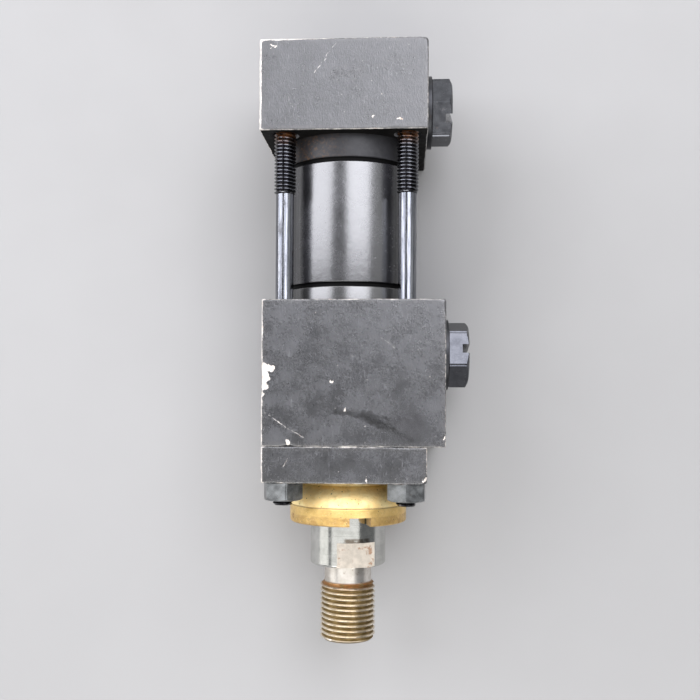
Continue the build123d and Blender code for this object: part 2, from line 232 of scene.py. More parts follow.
def grid_lines(low, high):
    """Coordinates across a block, close together beside its edges."""
    near = [0.0, 0.08, 0.16, 0.26, 0.38, 0.52, 0.7, 0.95, 1.3, 1.8, 2.5]
    count = max(2, round((high - low - 5.0) / 0.9))
    return np.array(
        [low + step for step in near]
        + list(np.linspace(low + 2.5, high - 2.5, count + 1)[1:-1])
        + [high - step for step in reversed(near)]
    )


def block(name, low, high, edge, dents=(), seed=0.0):
    """A box whose edges are worn by differing amounts, and knocked in at the dents (centre, reach, depth)."""
    lines = [grid_lines(low[axis], high[axis]) for axis in range(3)]
    parts = []
    for axis in range(3):
        first, second = [other for other in range(3) if other != axis]
        for side in (low[axis], high[axis]):
            grid = np.zeros((len(lines[first]), len(lines[second]), 3))
            grid[..., axis] = side
            grid[..., first] = lines[first][:, None]
            grid[..., second] = lines[second][None, :]
            rows, columns = grid.shape[:2]
            faces = [
                (r * columns + c, r * columns + c + 1, (r + 1) * columns + c + 1, (r + 1) * columns + c)
                for r in range(rows - 1)
                for c in range(columns - 1)
            ]
            points = grid.reshape(-1, 3)
            wear = np.array(
                [
                    edge
                    * (
                        1.0
                        + 0.45 * noise.noise(Vector(p) * 0.16 + Vector((seed, 0, 0)))
                        + 0.35 * noise.noise(Vector(p) * 0.7 + Vector((0, seed, 0)))
                    )
                    for p in points
                ]
            )
            for centre, reach, depth in dents:
                away = np.linalg.norm(points - np.array(centre), axis=1) / reach
                wear += depth * np.clip(1.0 - away**2, 0.0, 1.0) ** 2
            wear = np.clip(wear, 0.06, 4.0)[:, None]
            inside = np.clip(points, low + wear, high - wear)
            outward = points - inside
            outward /= np.maximum(np.linalg.norm(outward, axis=1, keepdims=True), 1e-9)
            parts.append((inside + outward * wear, faces))
    return mesh_object(name, parts)


def solid_box(centre, size, turn=(0.0, 0.0, 0.0)):
    """A cutter: a box about its centre, turned by degrees."""
    bm = bmesh.new()
    bmesh.ops.create_cube(bm, size=1.0)
    for vertex in bm.verts:
        vertex.co = Vector([c * s for c, s in zip(vertex.co, size)])
        vertex.co.rotate(Euler([math.radians(a) for a in turn]))
        vertex.co = (vertex.co + Vector(centre)) * MM
    mesh = bpy.data.meshes.new("cutter")
    bm.to_mesh(mesh)
    bm.free()
    obj = bpy.data.objects.new("cutter", mesh)
    bpy.context.scene.collection.objects.link(obj)
    return obj


def cut(obj, *cutters):
    """Takes the cutters out of the object."""
    for cutter in cutters:
        modifier = obj.modifiers.new("cut", "BOOLEAN")
        modifier.operation = "DIFFERENCE"
        modifier.solver = "EXACT"
        modifier.object = cutter
    evaluated = obj.evaluated_get(bpy.context.evaluated_depsgraph_get())
    result = bpy.data.meshes.new_from_object(evaluated)
    obj.modifiers.clear()
    obj.data = result
    for cutter in cutters:
        bpy.data.objects.remove(cutter)
    return obj


def add_parts(obj, parts):
    """Joins more (points, faces) parts into an object."""
    extra = mesh_object("extra", parts)
    bm = bmesh.new()
    bm.from_mesh(obj.data)
    bm.from_mesh(extra.data)
    bm.to_mesh(obj.data)
    bm.free()
    bpy.data.objects.remove(extra)
    return obj


# Shader graphs --------------------------------------------------------------


class Graph:
    """A material's node tree, with place as the point on the object in millimetres."""

    def __init__(self, name, **constants):
        self.material = bpy.data.materials.new(name)
        self.material.use_nodes = True
        self.tree = self.material.node_tree
        self.shader = self.tree.nodes["Principled BSDF"]
        for socket, value in constants.items():
            self.shader.inputs[socket.replace("_", " ")].default_value = value
        spot = self.add("ShaderNodeTexCoord").outputs["Object"]
        scaled = self.add("ShaderNodeVectorMath", {0: spot, "Scale": 1 / MM}, operation="SCALE")
        self.place = scaled.outputs[0]
        parts = self.add("ShaderNodeSeparateXYZ", {0: self.place}).outputs
        self.x, self.y, self.z = parts[0], parts[1], parts[2]

    def add(self, kind, inputs=None, **settings):
        node = self.tree.nodes.new(kind)
        for key, value in settings.items():
            setattr(node, key, value)
        for key, value in (inputs or {}).items():
            if isinstance(value, bpy.types.NodeSocket):
                self.tree.links.new(value, node.inputs[key])
            else:
                node.inputs[key].default_value = value
        return node

    def math(self, operation, first, second=0.0, third=0.0):
        node = self.add("ShaderNodeMath", {0: first, 1: second, 2: third}, operation=operation)
        return node.outputs[0]

    def least(self, *values):
        result = values[0]
        for value in values[1:]:
            result = self.math("MINIMUM", result, value)
        return result

    def most(self, *values):
        result = values[0]
        for value in values[1:]:
            result = self.math("MAXIMUM", result, value)
        return result

    def step(self, value, start, end, low=0.0, high=1.0):
        """Runs smoothly from low to high as the value goes from start to end."""
        node = self.add(
            "ShaderNodeMapRange",
            {0: value, 1: start, 2: end, 3: low, 4: high},
            interpolation_type="SMOOTHSTEP",
        )
        return node.outputs[0]

    def vector(self, operation, first, second=(0.0, 0.0, 0.0)):
        node = self.add("ShaderNodeVectorMath", {0: first, 1: second}, operation=operation)
        return node.outputs["Value"] if operation in ("LENGTH", "DISTANCE", "DOT_PRODUCT") else node.outputs[0]

    def noise(self, scale, detail=4.0, roughness=0.55, stretch=(1.0, 1.0, 1.0), shift=0.0):
        spot = self.vector("MULTIPLY_ADD", self.place, stretch)
        spot.node.inputs[2].default_value = (shift, shift * 0.7, shift * 1.3)
        node = self.add(
            "ShaderNodeTexNoise", {"Vector": spot, "Scale": scale, "Detail": detail, "Roughness": roughness}
        )
        return node.outputs[0]

    def mix(self, amount, first, second):
        node = self.add("ShaderNodeMix", {0: amount, 6: first, 7: second}, data_type="RGBA")
        return node.outputs[2]

    def blend(self, amount, first, second):
        """Between two numbers."""
        return self.add("ShaderNodeMix", {0: amount, 2: first, 3: second}, data_type="FLOAT").outputs[0]

    def times(self, color, factor):
        """A colour made lighter or darker."""
        node = self.add("ShaderNodeVectorMath", {0: color, "Scale": factor}, operation="SCALE")
        return node.outputs[0]

    def wobble(self, scale, amount, detail=2.0):
        """The place, pushed about by noise."""
        node = self.add("ShaderNodeTexNoise", {"Vector": self.place, "Scale": scale, "Detail": detail})
        centred = self.vector("SUBTRACT", node.outputs["Color"], (0.5, 0.5, 0.5))
        return self.vector("MULTIPLY_ADD", centred, (amount,) * 3), node

    def pushed(self, scale, amount, detail=2.0):
        offset, _ = self.wobble(scale, amount, detail)
        self.tree.links.new(self.place, offset.node.inputs[2])
        return offset

    def line(self, spot, start, end):
        """Distance from a spot to the line between two points."""
        start, end = Vector(start), Vector(end)
        way = end - start
        across = self.vector("SUBTRACT", spot, tuple(start))
        share = self.math("DIVIDE", self.vector("DOT_PRODUCT", across, tuple(way)), way.length_squared)
        share = self.least(self.most(share, 0.0), 1.0)
        along = self.add("ShaderNodeVectorMath", {0: tuple(way), "Scale": share}, operation="SCALE").outputs[0]
        return self.vector("LENGTH", self.vector("SUBTRACT", across, along))

    def box_edge(self, low, high):
        """Distance from a point on a box's face to the nearest edge."""
        near = []
        for axis, part in enumerate((self.x, self.y, self.z)):
            near.append(
                self.least(
                    self.math("SUBTRACT", part, float(low[axis])),
                    self.math("SUBTRACT", float(high[axis]), part),
                )
            )
        small = self.least(near[0], near[1])
        large = self.most(near[0], near[1])
        return self.most(small, self.least(large, near[2]))

    def bump(self, height, distance, strength=1.0):
        """Raises the surface by up to distance, in millimetres, on top of what is there."""
        before = self.shader.inputs["Normal"].links
        inputs = {"Strength": strength, "Distance": distance * MM, "Height": height}
        node = self.add("ShaderNodeBump", inputs)
        if before:
            self.tree.links.new(before[0].from_socket, node.inputs["Normal"])
        self.tree.links.new(node.outputs[0], self.shader.inputs["Normal"])

    def look(self, color, roughness):
        self.tree.links.new(color, self.shader.inputs["Base Color"])
        self.tree.links.new(roughness, self.shader.inputs["Roughness"])
        return self.material


def rgb(*values):
    return tuple(values) + (1.0,)


def worn_paint(name, low, high, wear, left_wear=0.0, top_left=0.0, scratches=(), chips=(), shade_clouds=(), smudges=(), dullness=0.0):
    """Satin black paint on steel: brush-like grain, cloudy blotches, dark smudges, dark cloud-shaped patches of painted
    shade, and bare metal at the edges and marks.
    """
    g = Graph(name, Metallic=0.0, IOR=1.54, Specular_IOR_Level=1.0)
    top = float(high[2])
    edge = g.box_edge(low, high)
    coarse = g.noise(0.22, 3.0, 0.6, shift=low[1])
    fine = g.noise(1.6, 5.0, 0.65, shift=low[0] + 7.0)
    reach = g.math("MULTIPLY_ADD", coarse, 0.7, wear - 0.35)
    reach = g.math("MULTIPLY_ADD", fine, 0.45, g.math("SUBTRACT", reach, 0.22))
    if left_wear:
        beside = g.step(g.x, float(low[0]) + 1.6, float(low[0]) + 0.2)
        reach = g.math("MULTIPLY_ADD", beside, left_wear * 1.2, reach)
    if top_left:
        far = g.math("MULTIPLY", g.step(g.x, float(low[0]) + 22.0, float(low[0]) + 6.0), g.step(g.y, float(high[1]) - 1.8, float(high[1]) - 0.3))
        reach = g.math("MULTIPLY_ADD", far, top_left, reach)
    bare = g.step(g.math("SUBTRACT", edge, reach), 0.14, -0.08)
    spot = g.pushed(0.55, 0.9)
    sharp = g.pushed(0.8, 2.4, 6.0)
    chipped = 0.0
    for start, end, width, strength in scratches:
        away = g.line(spot, start, end)
        broken = g.step(g.noise(0.8, 4.0, 0.6, shift=start[0]), 0.36, 0.5)
        mark = g.math("MULTIPLY", g.step(away, width, width * 0.35), g.math("MULTIPLY", broken, strength))
        bare = g.most(bare, mark)
    for start, end, radius in chips:
        away = g.line(sharp, (*start, top), (*end, top))
        chipped = g.most(chipped, g.step(away, radius * 1.05, radius * 0.85))
    bare = g.most(bare, chipped)
    specks = g.step(g.noise(1.1, 2.0, 0.5, shift=3.0 + low[1]), 0.745, 0.78)
    bare = g.most(bare, g.math("MULTIPLY", specks, 0.55))
    grain = g.noise(1.0, 6.0, 0.7, stretch=(3.2, 0.35, 3.2), shift=11.0)
    blotch = g.noise(0.09, 5.0, 0.62, shift=5.0 + low[1])
    shade = g.step(blotch, 0.26, 0.74)
    paint = g.mix(shade, rgb(0.002, 0.0022, 0.003), rgb(0.028, 0.0285, 0.032))
    haze = g.blend(shade, 0.5, 1.0)
    paint = g.mix(g.math("MULTIPLY", g.step(grain, 0.42, 0.70, 0.0, 0.6), haze), paint, rgb(0.05, 0.051, 0.057))
    patches = g.noise(0.2, 6.0, 0.62, shift=51.0)
    paint = g.mix(g.math("MULTIPLY", g.step(patches, 0.36, 0.72, 0.0, 0.6), haze), paint, rgb(0.05, 0.051, 0.056))
    strokes = g.step(g.noise(1.0, 2.0, 0.5, stretch=(3.4, 0.42, 1.0), shift=27.0), 0.60, 0.72)
    strokes = g.math("MULTIPLY", strokes, g.step(g.noise(0.1, 2.0, 0.5, shift=33.0), 0.44, 0.62))
    paint = g.mix(g.math("MULTIPLY", strokes, 0.6), paint, rgb(0.13, 0.13, 0.138))
    mottle = g.noise(1.5, 4.0, 0.65, shift=41.0)
    paint = g.mix(g.step(mottle, 0.5, 0.7, 0.0, 0.4), paint, rgb(0.05, 0.051, 0.056))
    dust = g.step(g.noise(2.6, 3.0, 0.6, shift=2.0), 0.58, 0.74, 0.0, 0.35)
    paint = g.mix(dust, paint, rgb(0.055, 0.053, 0.052))
    dark = 0.0
    streaks = g.step(g.noise(0.8, 5.0, 0.65, shift=61.0), 0.34, 0.56, 0.35, 1.0)
    for start, end, width, strength in smudges:
        away = g.line(g.pushed(0.45, 2.0, 4.0), start, end)
        smear = g.math("MULTIPLY", g.step(away, width * 1.15, width * 0.3), streaks)
        dark = g.most(dark, g.math("MULTIPLY", smear, strength))
    # Painted shade: each cloud darkens the paint round its centre, so that part of a face looks shaded.
    for centre, radius, strength in shade_clouds:
        away = g.vector("DISTANCE", g.pushed(0.16, 6.0), tuple(centre))
        dark = g.most(dark, g.math("MULTIPLY", g.step(away, radius, radius * 0.3), strength))
    # The dirt smudges and the painted-shade patches darken the paint together here.
    if shade_clouds or smudges:
        paint = g.mix(dark, paint, rgb(0.003, 0.003, 0.0035))
    rim = g.math("MULTIPLY", g.step(edge, 1.7, 0.2), g.step(fine, 0.35, 0.6, 0.1, 0.55))
    paint = g.mix(rim, paint, rgb(0.06, 0.058, 0.056))
    metal = g.mix(g.step(g.noise(0.9, 3.0, 0.5, shift=9.0), 0.35, 0.65), rgb(0.34, 0.315, 0.295), rgb(0.58, 0.54, 0.49))
    metal = g.mix(chipped, metal, rgb(0.62, 0.56, 0.50))
    rust = g.step(g.noise(0.5, 4.0, 0.6, shift=17.0), 0.60, 0.74, 0.0, 0.7)
    metal = g.mix(rust, metal, rgb(0.36, 0.17, 0.07))
    color = g.mix(bare, paint, metal)
    rough = g.blend(shade, 0.21 + dullness, 0.29 + dullness)
    rough = g.math("MULTIPLY_ADD", patches, 0.30, g.math("SUBTRACT", rough, 0.15))
    rough = g.math("MULTIPLY_ADD", mottle, 0.30, g.math("SUBTRACT", rough, 0.15))
    if shade_clouds or smudges:
        rough = g.blend(dark, rough, 0.07)
    rough = g.blend(bare, rough, 0.42)
    g.bump(g.noise(1.9, 4.0, 0.65, stretch=(1.7, 0.6, 1.7)), 0.11, 0.75)
    g.bump(g.noise(0.3, 4.0, 0.6, shift=4.0), 0.16, 0.6)
    g.bump(g.math("SUBTRACT", 1.0, bare), 0.035, 0.6)
    return g.look(color, rough)


def gloss_paint(name, low, high, gloss):
    """Glossy black paint on the tube, with dull worn collars beyond its two grooves."""
    g = Graph(name, Metallic=0.0, IOR=1.75, Specular_IOR_Level=gloss)
    front, back = float(low[1]), float(high[1])
    collar_rear = g.step(g.y, tube_marks[1] - 0.2, tube_marks[1] + 0.5)
    collar_front = g.step(g.y, tube_marks[0] + 0.3, tube_marks[0] - 0.3)
    radius = g.math("SQRT", g.math("ADD", g.math("MULTIPLY", g.x, g.x), g.math("MULTIPLY", g.z, g.z)))
    groove = g.step(radius, 18.85, 18.5)
    cloud = g.step(g.noise(0.15, 4.0, 0.6), 0.3, 0.7)
    color = g.mix(cloud, rgb(0.006, 0.006, 0.007), rgb(0.016, 0.016, 0.019))
    speck = g.step(g.noise(2.3, 4.0, 0.6, shift=6.0), 0.68, 0.76)
    color = g.mix(g.math("MULTIPLY", speck, 0.35), color, rgb(0.09, 0.085, 0.08))
    rust = g.math("MULTIPLY", g.step(g.noise(1.3, 5.0, 0.65, shift=8.0), 0.47, 0.66), g.step(g.x, 4.0, -14.0))
    dull = g.mix(g.noise(0.6, 4.0, 0.6), rgb(0.012, 0.012, 0.014), rgb(0.04, 0.04, 0.043))
    dull = g.mix(g.math("MULTIPLY", rust, 0.8), dull, rgb(0.10, 0.055, 0.028))
    color = g.mix(g.math("MULTIPLY", collar_rear, 0.9), color, dull)
    color = g.mix(g.math("MULTIPLY", collar_front, 0.6), color, rgb(0.03, 0.03, 0.028))
    color = g.mix(groove, color, rgb(0.003, 0.003, 0.003))
    rough = g.blend(cloud, 0.24, 0.28)
    rough = g.math("MULTIPLY_ADD", g.noise(1.2, 4.0, 0.6), 0.04, g.math("SUBTRACT", rough, 0.02))
    rough = g.blend(collar_rear, rough, 0.42)
    rough = g.blend(collar_front, rough, 0.25)
    rough = g.blend(groove, rough, 0.6)
    g.bump(g.noise(0.55, 3.0, 0.5), 0.05, 0.5)
    g.bump(g.noise(2.4, 3.0, 0.5, shift=2.0), 0.008, 0.5)
    return g.look(color, rough)


def bronze(rim_back, rim_radius):
    """Bronze: matt and grainy on the flare, coloured much lighter there as painted light, turned smoother on the rim,
    stained brown along its front.
    """
    g = Graph("bronze", Metallic=0.8)
    radius = g.math("SQRT", g.math("ADD", g.math("MULTIPLY", g.x, g.x), g.math("MULTIPLY", g.z, g.z)))
    rim = g.step(g.y, rim_back + 0.1, rim_back - 0.3)
    band = g.math("MULTIPLY", rim, g.step(g.y, 2.9, 2.4))
    tone = g.noise(0.16, 4.0, 0.6)
    # Painted light: the flare's bronze is made far lighter than the rim's, standing in for light under the plate.
    flare = g.mix(g.step(tone, 0.3, 0.7), rgb(0.96, 0.71, 0.31), rgb(1.0, 0.86, 0.48))
    bright = g.mix(g.step(tone, 0.3, 0.7), rgb(0.64, 0.43, 0.14), rgb(0.86, 0.61, 0.24))
    color = g.mix(rim, flare, bright)
    stain_noise = g.noise(0.35, 5.0, 0.65, shift=3.0)
    stain = g.math("MULTIPLY", g.step(stain_noise, 0.48, 0.70), g.blend(band, 0.30, 0.85))
    color = g.mix(stain, color, rgb(0.30, 0.17, 0.06))
    seam = g.math("MULTIPLY", g.step(g.y, rim_back + 0.35, rim_back + 0.1), g.step(g.y, rim_back - 0.3, rim_back - 0.05))
    color = g.mix(g.math("MULTIPLY", seam, 0.75), color, rgb(0.30, 0.19, 0.07))
    front_line = g.math("MULTIPLY", band, g.step(g.noise(0.5, 3.0, 0.6, shift=12.0), 0.35, 0.6, 0.1, 0.55))
    color = g.mix(front_line, color, rgb(0.45, 0.26, 0.09))
    speck = g.step(g.noise(3.2, 2.0, 0.5, shift=1.0), 0.63, 0.72)
    color = g.mix(g.math("MULTIPLY", speck, 0.7), color, rgb(0.9, 0.78, 0.5))
    pit = g.step(g.noise(1.3, 2.0, 0.5, shift=15.0), 0.685, 0.74)
    color = g.mix(pit, color, rgb(0.07, 0.04, 0.02))
    inside = g.step(radius, 11.9, 11.4)
    color = g.mix(inside, color, rgb(0.12, 0.10, 0.05))
    rough = g.blend(rim, 0.58, 0.36)
    rough = g.math("MULTIPLY_ADD", stain, 0.18, rough)
    rough = g.math("MULTIPLY_ADD", g.noise(2.0, 4.0, 0.6), 0.14, g.math("SUBTRACT", rough, 0.07))
    g.bump(g.noise(1.1, 5.0, 0.7, shift=6.0), 0.17, 0.9)
    turned_lines = g.noise(1.0, 3.0, 0.6, stretch=(0.05, 9.0, 0.05))
    g.bump(turned_lines, 0.02, 0.5)
    g.bump(g.math("SUBTRACT", 1.0, pit), 0.08, 0.6)
    return g.look(color, rough)


def drawn_steel(name, centres, back, rust_reach):
    """Bright drawn steel of the tie rods, with painted shade darkening the threads, and rust where they enter the cap.
    """
    g = Graph(name, Metallic=1.0)
    streak = g.noise(1.0, 5.0, 0.65, stretch=(2.5, 0.06, 2.5))
    color = g.mix(g.step(streak, 0.3, 0.7), rgb(0.10, 0.107, 0.125), rgb(0.27, 0.275, 0.29))
    smear = g.noise(0.5, 4.0, 0.6, stretch=(1.0, 0.3, 1.0), shift=7.0)
    color = g.mix(g.step(smear, 0.56, 0.74, 0.0, 0.7), color, rgb(0.05, 0.048, 0.048))
    away = [g.vector("LENGTH", g.vector("MULTIPLY", g.vector("SUBTRACT", g.place, (x, 0.0, z)), (1, 0, 1))) for x, z in centres]
    threaded = g.most(g.step(g.y, back - 16.4, back - 16.6, 1.0, 0.0), g.step(g.y, 26.0, 26.4, 1.0, 0.0))
    # Painted shade: the threads darkened all over and nearly black in their roots.
    valley_shade = g.math("MULTIPLY", threaded, g.step(g.least(*away), 2.86, 2.58))
    color = g.mix(valley_shade, color, rgb(0.018, 0.017, 0.017))
    color = g.mix(g.math("MULTIPLY", threaded, 0.45), color, rgb(0.06, 0.06, 0.065))
    rust_noise = g.noise(0.9, 5.0, 0.65, shift=2.0)
    near = g.step(g.y, back - rust_reach, back + 0.5)
    rust = g.math("MULTIPLY", near, g.step(rust_noise, 0.34, 0.6))
    color = g.mix(rust, color, rgb(0.20, 0.085, 0.03))
    spots = g.step(g.noise(1.7, 3.0, 0.6, shift=21.0), 0.70, 0.76)
    color = g.mix(g.math("MULTIPLY", spots, 0.7), color, rgb(0.13, 0.07, 0.04))
    rough = g.step(smear, 0.3, 0.75, 0.13, 0.30)
    rough = g.math("MULTIPLY_ADD", rust, 0.3, rough)
    g.bump(streak, 0.012, 0.5)
    g.bump(g.noise(2.5, 4.0, 0.6), 0.012, 0.5)
    return g.look(color, rough)


def machined_steel(name, dark, light, rough_low, rough_high, rust=0.2, metallic=1.0):
    """Steel with cloudy tone, fine tool marks and a few spots."""
    g = Graph(name, Metallic=metallic)
    tone = g.noise(0.4, 4.0, 0.6)
    color = g.mix(g.step(tone, 0.3, 0.7), rgb(*dark), rgb(*light))
    marks = g.noise(1.0, 4.0, 0.6, stretch=(4.0, 4.0, 0.5), shift=3.0)
    color = g.mix(g.step(marks, 0.5, 0.75, 0.0, 0.4), color, rgb(*[v * 1.6 for v in light]))
    spots = g.step(g.noise(1.3, 4.0, 0.65, shift=9.0), 0.62, 0.74)
    color = g.mix(g.math("MULTIPLY", spots, rust), color, rgb(0.22, 0.12, 0.06))
    rough = g.step(tone, 0.3, 0.7, rough_low, rough_high)
    rough = g.math("MULTIPLY_ADD", spots, 0.15, rough)
    g.bump(marks, 0.012, 0.5)
    g.bump(g.noise(2.2, 4.0, 0.6, shift=5.0), 0.02, 0.5)
    return g.look(color, rough)


def chrome_rod(shoulder, thread_back, flats_back, flats_turn, tip):
    """Ground chrome on the rod, with a painted shadow line behind the flats; plain turned steel on the undercut and the
    thread, with rust and grime, a painted highlight on the thread's crests and painted shade in its roots.
    """
    g = Graph("hard_chrome", Metallic=1.0)
    radius = g.math("SQRT", g.math("ADD", g.math("MULTIPLY", g.x, g.x), g.math("MULTIPLY", g.z, g.z)))
    threaded = g.step(g.y, thread_back + 0.3, thread_back - 0.3)
    turned_part = g.step(g.y, shoulder + 0.1, shoulder - 0.1)
    normal = (math.sin(math.radians(flats_turn)), 0.0, math.cos(math.radians(flats_turn)))
    side = g.math("ABSOLUTE", g.vector("DOT_PRODUCT", g.place, normal))
    on_flat = g.math("MULTIPLY", g.step(radius, 10.995, 10.97), g.step(g.y, flats_back + 0.02, flats_back - 0.02))
    on_flat = g.math("MULTIPLY", on_flat, g.step(side, 9.3, 9.45))
    lines = g.noise(1.0, 4.0, 0.6, stretch=(0.12, 14.0, 0.12))
    haze = g.noise(0.3, 4.0, 0.6, shift=4.0)
    chrome = g.mix(g.step(haze, 0.3, 0.7), rgb(0.46, 0.465, 0.44), rgb(0.62, 0.62, 0.59))
    chrome = g.mix(g.step(lines, 0.45, 0.75, 0.0, 0.35), chrome, rgb(0.20, 0.20, 0.185))
    flat = g.mix(g.step(g.noise(0.5, 4.0, 0.6, shift=9.0), 0.3, 0.7), rgb(0.56, 0.505, 0.43), rgb(0.73, 0.66, 0.57))
    flat_rust = g.step(g.noise(0.55, 5.0, 0.65, shift=14.0), 0.57, 0.66)
    flat = g.mix(g.math("MULTIPLY", flat_rust, 0.7), flat, rgb(0.34, 0.15, 0.06))
    # Painted shadow: a dark brown band on the rod just behind the flats.
    painted_shadow_line = g.math("MULTIPLY", g.step(side, 10.2, 10.6), g.step(g.y, flats_back + 1.5, flats_back + 0.9))
    painted_shadow_line = g.math("MULTIPLY", painted_shadow_line, g.step(g.noise(0.7, 4.0, 0.6, shift=44.0), 0.32, 0.5, 0.2, 0.9))
    chrome = g.mix(painted_shadow_line, chrome, rgb(0.16, 0.13, 0.10))
    color = g.mix(on_flat, chrome, flat)
    under = g.mix(g.step(haze, 0.35, 0.7), rgb(0.60, 0.56, 0.50), rgb(0.78, 0.74, 0.69))
    grime = g.step(g.noise(0.8, 5.0, 0.65, shift=19.0), 0.56, 0.7)
    under = g.mix(g.math("MULTIPLY", grime, 0.6), under, rgb(0.25, 0.16, 0.10))
    color = g.mix(turned_part, color, under)
    # Painted highlight on the thread's crests and painted shade, brownish, in its roots.
    crest = g.step(radius, 7.45, 7.82)
    valley_shade = g.mix(g.step(g.noise(0.5, 4.0, 0.6, shift=23.0), 0.3, 0.7), rgb(0.18, 0.125, 0.05), rgb(0.36, 0.27, 0.13))
    ridge_highlight = g.mix(g.step(haze, 0.3, 0.7), rgb(0.78, 0.69, 0.54), rgb(1.0, 0.92, 0.79))
    helix = g.mix(crest, valley_shade, ridge_highlight)
    start_rust = g.math("MULTIPLY", g.step(g.y, thread_back - 2.6, thread_back - 0.4), g.step(g.noise(0.9, 4.0, 0.6, shift=31.0), 0.3, 0.55))
    helix = g.mix(g.math("MULTIPLY", start_rust, 0.75), helix, rgb(0.33, 0.14, 0.05))
    soot = g.step(g.noise(0.7, 5.0, 0.65, shift=37.0), 0.6, 0.72)
    helix = g.mix(g.math("MULTIPLY", soot, 0.8), helix, rgb(0.05, 0.04, 0.035))
    color = g.mix(threaded, color, helix)
    front_face = g.step(g.y, tip + 0.35, tip + 0.1)
    color = g.mix(g.math("MULTIPLY", front_face, 0.6), color, rgb(0.35, 0.31, 0.28))
    rough = g.step(haze, 0.3, 0.7, 0.13, 0.22)
    rough = g.blend(on_flat, rough, 0.34)
    rough = g.blend(turned_part, rough, 0.3)
    rough = g.blend(threaded, rough, g.blend(crest, 0.55, 0.27))
    g.bump(g.math("MULTIPLY", lines, 1.0), 0.006, 0.5)
    g.bump(g.noise(2.4, 4.0, 0.6, shift=6.0), 0.02, 0.25)
    return g.look(color, rough)


def soft_part(name, dark, light, low_rough, high_rough, metallic=0.0, fibre=(1.0, 1.0, 1.0), gloss=0.5):
    """Rubber, plastic or cast metal: cloudy tone, fine speckle and a light relief."""
    g = Graph(name, Metallic=metallic, Specular_IOR_Level=gloss)
    tone = g.noise(0.35, 4.0, 0.6, stretch=fibre)
    color = g.mix(g.step(tone, 0.3, 0.7), rgb(*dark), rgb(*light))
    speckle = g.step(g.noise(2.8, 4.0, 0.6, shift=5.0), 0.55, 0.75, 0.0, 0.5)
    color = g.mix(speckle, color, rgb(*[min(1.0, v * 1.7 + 0.01) for v in light]))
    rough = g.step(tone, 0.3, 0.7, low_rough, high_rough)
    g.bump(g.noise(2.0, 4.0, 0.6, stretch=fibre), 0.02, 0.5)
    return g.look(color, rough)


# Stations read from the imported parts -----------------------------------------

plate_low, plate_high = corners("retainer_plate")
head_low, head_high = corners("head")
cap_low, cap_high = corners("rear_cap")
tube_low, tube_high = corners("tube")
gland_low, gland_high = corners("gland")
rod_low, rod_high = corners("piston_rod")
plate_front = plate_low[1]
head_front = plate_high[1]
head_back = tube_low[1] + 5.0
cap_front = tube_high[1] - 5.0
cap_back = cap_high[1]
nose_front, nose_back = head_high[1], cap_low[1]
head_block_high = np.array((head_high[0], head_back, head_high[2]))
cap_block_low = np.array((cap_low[0], cap_front, cap_low[2]))
bore_radius = 16.0
tube_marks = (head_back + 3.9 + 0.6, cap_front - 7.6 + 0.7)
rod_radius = rod_high[0]
rim_radius = gland_high[0]
RIM_LENGTH = 5.0
FLATS_TURN = 17.0
tip = rod_low[1]
shoulder = tip + 22.0
thread_back = shoulder - 5.0


# The blocks ------------------------------------------------------------------

plate = block(
    "retainer_plate_block",
    plate_low,
    plate_high,
    0.42,
    dents=[((-22.5, 14.5, 22.5), 2.5, 0.5), ((22.5, 13.0, 22.5), 2.2, 0.7)],
    seed=3.0,
)
opening = turned(
    rounded(
        [
            (0, plate_front - 1, 0),
            (16.3, plate_front - 1, 0),
            (15.6, plate_front + 0.5, 0.3),
            (15.1, plate_front + 1.0, 0.3),
            (15.1, head_front + 1, 0),
            (0, head_front + 1, 0),
        ]
    )
)
cut(plate, mesh_object("cutter", [opening]))

head = block(
    "head_block",
    head_low,
    head_block_high,
    0.45,
    dents=[((-22.5, 41.5, 22.5), 6.0, 1.2), ((-15.0, head_front, 22.5), 2.2, 0.8), ((27.5, 60.5, 22.5), 3.0, 0.5)],
    seed=11.0,
)
head_room = turned(
    [
        (0, head_front - 1),
        (15.05, head_front - 1),
        (15.05, span("gland", 1)[1] + 0.1),
        (13.0, span("gland", 1)[1] + 0.1),
        (13.0, head_back - 5.0),
        (19.05, head_back - 5.0),
        (19.05, head_back + 1),
        (0, head_back + 1),
    ]
)


def port_room(side, station):
    """The tapped hole under a plug and its oil way."""
    outline = [(0, side + 1), (6.6, side + 1), (6.6, side - 12.0), (3.0, side - 12.4), (3.0, 10.0), (0, 10.0)]
    return turned(outline, centre=(station, 0.0), axis=PORT_AXIS, columns=72)


def nose(station, tip_station, seal_middle):
    """The ring that stands out of a block into the tube, with its seal groove."""
    inward = 1.0 if tip_station > station else -1.0
    outline = [
        (13.0, station - inward * 0.4, 0),
        (15.95, station - inward * 0.4, 0),
        (15.95, seal_middle - inward * 1.2, 0),
        (14.45, seal_middle - inward * 1.2, 0.2),
        (14.45, seal_middle + inward * 1.2, 0.2),
        (15.95, seal_middle + inward * 1.2, 0),
        (15.95, tip_station, 0.5),
        (13.0, tip_station, 0.3),
    ]
    return turned(rounded(outline, closed=True))


front_station = middle("front_port_plug", 1)
rear_station = middle("rear_port_plug", 1)
cut(head, mesh_object("cutter", [head_room]), mesh_object("cutter", [port_room(head_high[0], front_station)]))
add_parts(head, [nose(head_back - 5.0, nose_front, middle("head_o_ring", 1))])

